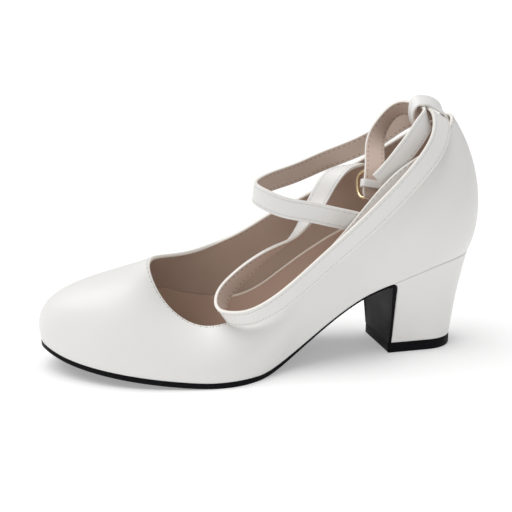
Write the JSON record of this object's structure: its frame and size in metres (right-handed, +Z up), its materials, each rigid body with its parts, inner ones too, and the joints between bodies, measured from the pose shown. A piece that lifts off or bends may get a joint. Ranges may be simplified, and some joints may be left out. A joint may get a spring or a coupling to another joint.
{
  "type": "ankle strap pump",
  "caption": "Left round-toe pump in white smooth leather with a black sole, a wrapped block heel, a crossed instep strap and a buckled ankle strap held by a heel loop.",
  "frame": {"origin": "on the floor, under the middle of the shoe's bounding box", "axes": "+X from the toe to the heel, -Y towards the outer side of the foot, +Z up"},
  "size_m": [0.2326, 0.0854, 0.1328],
  "materials": {
    "sole": "smooth black rubber, low sheen",
    "heel_cover": "white smooth leather wrapped over the heel",
    "top_lift": "smooth black rubber",
    "insole": "taupe-brown sock lining",
    "upper_leather": "white smooth leather outside, taupe-brown lining inside",
    "strap_leather": "white smooth leather outside, taupe-brown lining inside",
    "buckle_metal": "pale gold, polished"
  },
  "bodies": {
    "root": {"outsole": "sole", "heel_block": "heel_cover", "top_lift": "top_lift", "insole": "insole", "upper": "upper_leather", "cross_strap": "strap_leather", "ankle_strap": "strap_leather", "heel_loop": "strap_leather", "keeper_loop": "strap_leather", "buckle_frame": "buckle_metal", "buckle_prong": "buckle_metal"}
  },
  "joints": []
}
